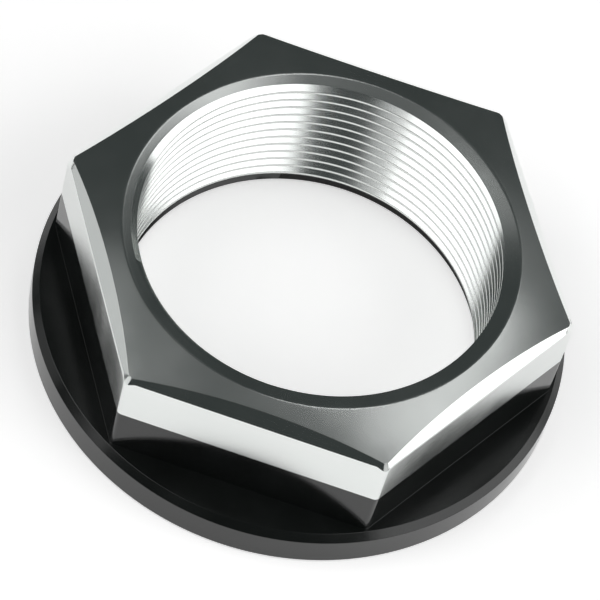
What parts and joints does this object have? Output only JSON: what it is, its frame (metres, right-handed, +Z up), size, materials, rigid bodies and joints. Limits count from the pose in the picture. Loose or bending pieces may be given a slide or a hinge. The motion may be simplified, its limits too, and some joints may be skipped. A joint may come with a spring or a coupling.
{
  "type": "steering stem nut",
  "caption": "Flanged hexagon nut with a wide fine-threaded through bore and a crowned top face, gloss black with a bare machined head, which clamps down a motorcycle steering stem.",
  "frame": {"origin": "centre of the bearing face, on the thread's axis", "axes": "+Z up the thread's axis from the bearing face to the crowned top, with one flat of the hexagon facing -Y and two corners on the X axis"},
  "size_m": [0.043, 0.043, 0.0131],
  "materials": {
    "machined_aluminium": "bare machined thread, top face, bevels and upper flats; gloss black anodised flange and lower flats"
  },
  "bodies": {
    "root": {"stem_nut": "machined_aluminium"}
  },
  "joints": []
}
